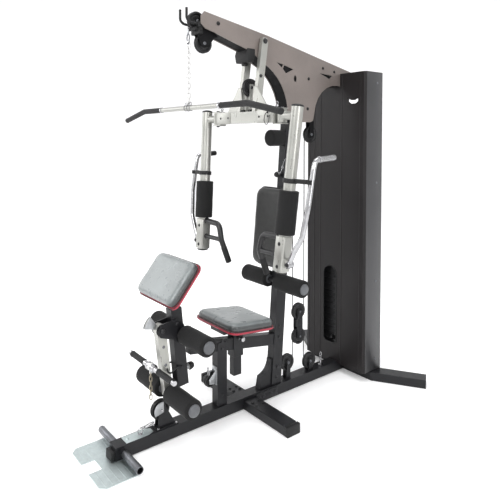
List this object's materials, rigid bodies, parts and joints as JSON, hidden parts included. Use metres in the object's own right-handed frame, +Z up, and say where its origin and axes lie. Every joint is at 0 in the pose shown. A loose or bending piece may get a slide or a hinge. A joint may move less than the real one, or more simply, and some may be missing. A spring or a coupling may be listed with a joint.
{
  "type": "multi station home gym",
  "caption": "Home gym with weight tower, boom with lat bar, press and butterfly arms, seat, back pad and leg station on one base.",
  "frame": {"origin": "middle of the footprint, on the floor", "axes": "+Z up, +X to the machine's right as seen from its foot plate side looking at the tower, -Y towards the foot plate"},
  "size_m": [1.3854, 1.913, 2.105],
  "materials": {
    "frame_black": "satin powder coat, near black",
    "boom_grey": "satin metallic champagne grey",
    "arm_silver": "satin metallic silver",
    "zinc_sheet": "pale blue-grey zinc sheet",
    "chrome": "polished chrome",
    "foam": "matte closed-cell foam",
    "vinyl": "grained vinyl, dark grey, crimson band",
    "shroud": "satin ribbed sheet steel, brown black",
    "iron": "black painted iron plates",
    "pulley_nylon": "moulded black nylon",
    "knob_plastic": "moulded black plastic",
    "cable": "black nylon coating over steel wire"
  },
  "bodies": {
    "frame": {"foot_plate": "zinc_sheet", "beam_front": "frame_black", "beam_rear": "frame_black", "mid_foot": "frame_black", "rear_foot": "frame_black", "main_upright": "frame_black", "lumbar_roller_left": "foam", "lumbar_roller_right": "foam", "back_buffer": "foam", "backrest_pad": "vinyl", "boom_plate_left": "boom_grey", "boom_plate_right": "boom_grey", "boom_core": "frame_black", "bar_hook": "frame_black", "front_shroud": "shroud", "rear_shroud": "shroud", "guide_rod_left": "chrome", "guide_rod_right": "chrome", "resting_plates": "iron", "seat_beam": "frame_black", "leg_post": "frame_black", "upper_roller_left": "foam", "upper_roller_right": "foam", "low_pulley_bracket": "frame_black"},
    "stack": {"lifting_plates": "iron", "stack_cable": "cable"},
    "selector": {"selector_pin": "chrome"},
    "float": {"float_bracket": "frame_black", "upper_cable": "cable", "lower_cable": "cable"},
    "lat": {"lat_bar": "arm_silver", "lat_chain": "chrome", "lat_cable": "cable"},
    "yoke": {"press_yoke": "arm_silver"},
    "arm_left": {"fly_arm_left": "arm_silver", "fly_foam_left": "foam"},
    "arm_right": {"fly_arm_right": "arm_silver", "fly_foam_right": "foam"},
    "lever_left": {"outer_lever_left": "chrome"},
    "lever_right": {"outer_lever_right": "chrome"},
    "seat": {"seat_slider": "frame_black", "seat_pad": "vinyl"},
    "seat_lock": {"seat_pin": "chrome"},
    "post_lock": {"post_knob": "knob_plastic"},
    "preacher": {"preacher_stem": "frame_black", "preacher_pad": "vinyl"},
    "leg": {"leg_lever": "arm_silver", "lower_roller_left": "foam", "lower_roller_right": "foam", "curl_bar": "chrome"},
    "tip_pulley_body": {"tip_pulley": "pulley_nylon"},
    "boom_top_pulley_body": {"boom_top_pulley": "pulley_nylon"},
    "shoulder_pulley_body": {"shoulder_pulley": "pulley_nylon"},
    "yoke_pulley_body": {"yoke_pulley": "pulley_nylon"},
    "float_pulley_upper_body": {"float_pulley_upper": "pulley_nylon"},
    "float_pulley_lower_body": {"float_pulley_lower": "pulley_nylon"},
    "base_pulley_front_body": {"base_pulley_front": "pulley_nylon"},
    "base_pulley_rear_body": {"base_pulley_rear": "pulley_nylon"},
    "low_pulley_body": {"low_pulley": "pulley_nylon"},
    "tower_pulley_body": {"tower_pulley": "pulley_nylon"}
  },
  "joints": [
    {"name": "stack_lift", "type": "slide", "parent": "frame", "child": "stack", "axis": [0, 0, 1], "range_m": [0, 0.45], "deforming": ["stack_cable"]},
    {"name": "lat_pull", "type": "slide", "parent": "frame", "child": "lat", "axis": [0, 0, -1], "range_m": [0, 0.45], "deforming": ["lat_cable"]},
    {"name": "float_rise", "type": "slide", "parent": "frame", "child": "float", "axis": [0, 0, 1], "range_m": [0, 0.225], "deforming": ["upper_cable", "lower_cable"]},
    {"name": "selector_pull", "type": "slide", "parent": "stack", "child": "selector", "axis": [0, -1, 0], "range_m": [0, 0.075]},
    {"name": "press_swing", "type": "hinge", "parent": "frame", "child": "yoke", "pos_m": [0, 0.0215, 1.988], "axis": [-1, 0, 0], "range_deg": [0, 10]},
    {"name": "fly_left", "type": "hinge", "parent": "yoke", "child": "arm_left", "pos_m": [-0.278, -0.0365, 1.58], "axis": [0, 0, 1], "range_deg": [0, 50]},
    {"name": "lever_swing_left", "type": "hinge", "parent": "arm_left", "child": "lever_left", "pos_m": [-0.398, -0.0995, 0.862], "axis": [0, -1, 0], "range_deg": [0, 30]},
    {"name": "fly_right", "type": "hinge", "parent": "yoke", "child": "arm_right", "pos_m": [0.278, -0.0365, 1.58], "axis": [0, 0, -1], "range_deg": [0, 50]},
    {"name": "lever_swing_right", "type": "hinge", "parent": "arm_right", "child": "lever_right", "pos_m": [0.398, -0.0995, 0.862], "axis": [0, 1, 0], "range_deg": [0, 30]},
    {"name": "leg_extension", "type": "hinge", "parent": "frame", "child": "leg", "pos_m": [0, -0.5805, 0.545], "axis": [-1, 0, 0], "range_deg": [0, 70]},
    {"name": "seat_height", "type": "slide", "parent": "frame", "child": "seat", "axis": [0, 0, 1], "range_m": [0, 0.08]},
    {"name": "seat_pin_pull", "type": "slide", "parent": "frame", "child": "seat_lock", "axis": [1, 0, 0], "range_m": [0, 0.012], "stiffness_N_per_m": 600},
    {"name": "preacher_height", "type": "slide", "parent": "frame", "child": "preacher", "axis": [0, -0.1015, 0.9948], "range_m": [0, 0.1]},
    {"name": "post_knob_pull", "type": "slide", "parent": "frame", "child": "post_lock", "axis": [0, 0.9948, 0.1015], "range_m": [0, 0.012], "stiffness_N_per_m": 600},
    {"name": "tip_pulley_spin", "type": "hinge", "parent": "frame", "child": "tip_pulley_body", "pos_m": [0, -0.3255, 1.945], "axis": [1, 0, 0], "continuous": true},
    {"name": "boom_top_pulley_spin", "type": "hinge", "parent": "frame", "child": "boom_top_pulley_body", "pos_m": [0, -0.3665, 2.05], "axis": [1, 0, 0], "continuous": true},
    {"name": "shoulder_pulley_spin", "type": "hinge", "parent": "frame", "child": "shoulder_pulley_body", "pos_m": [0, 0.4385, 1.491], "axis": [1, 0, 0], "continuous": true},
    {"name": "yoke_pulley_spin", "type": "hinge", "parent": "yoke", "child": "yoke_pulley_body", "pos_m": [0, -0.0215, 1.742], "axis": [1, 0, 0], "continuous": true},
    {"name": "float_pulley_upper_spin", "type": "hinge", "parent": "float", "child": "float_pulley_upper_body", "pos_m": [0, 0.3465, 0.441], "axis": [1, 0, 0], "continuous": true},
    {"name": "float_pulley_lower_spin", "type": "hinge", "parent": "float", "child": "float_pulley_lower_body", "pos_m": [0, 0.3465, 0.292], "axis": [1, 0, 0], "continuous": true},
    {"name": "base_pulley_front_spin", "type": "hinge", "parent": "frame", "child": "base_pulley_front_body", "pos_m": [0, 0.2551, 0.157], "axis": [1, 0, 0], "continuous": true},
    {"name": "base_pulley_rear_spin", "type": "hinge", "parent": "frame", "child": "base_pulley_rear_body", "pos_m": [0, 0.4379, 0.118], "axis": [1, 0, 0], "continuous": true},
    {"name": "low_pulley_spin", "type": "hinge", "parent": "frame", "child": "low_pulley_body", "pos_m": [0, -0.5815, 0.153], "axis": [1, 0, 0], "continuous": true},
    {"name": "tower_pulley_spin", "type": "hinge", "parent": "frame", "child": "tower_pulley_body", "pos_m": [0, 0.7078, 1.8], "axis": [1, 0, 0], "continuous": true}
  ],
  "couplings": [
    {"joint": "lat_pull", "follows": "stack_lift", "ratio": 1},
    {"joint": "float_rise", "follows": "stack_lift", "ratio": 0.5},
    {"joint": "boom_top_pulley_spin", "follows": "stack_lift", "rad_per_m": 21.882},
    {"joint": "shoulder_pulley_spin", "follows": "stack_lift", "rad_per_m": -21.882},
    {"joint": "float_pulley_upper_spin", "follows": "stack_lift", "rad_per_m": 10.941},
    {"joint": "float_pulley_lower_spin", "follows": "stack_lift", "rad_per_m": 10.941},
    {"joint": "base_pulley_rear_spin", "follows": "stack_lift", "rad_per_m": -21.882},
    {"joint": "tower_pulley_spin", "follows": "stack_lift", "rad_per_m": 21.882}
  ]
}
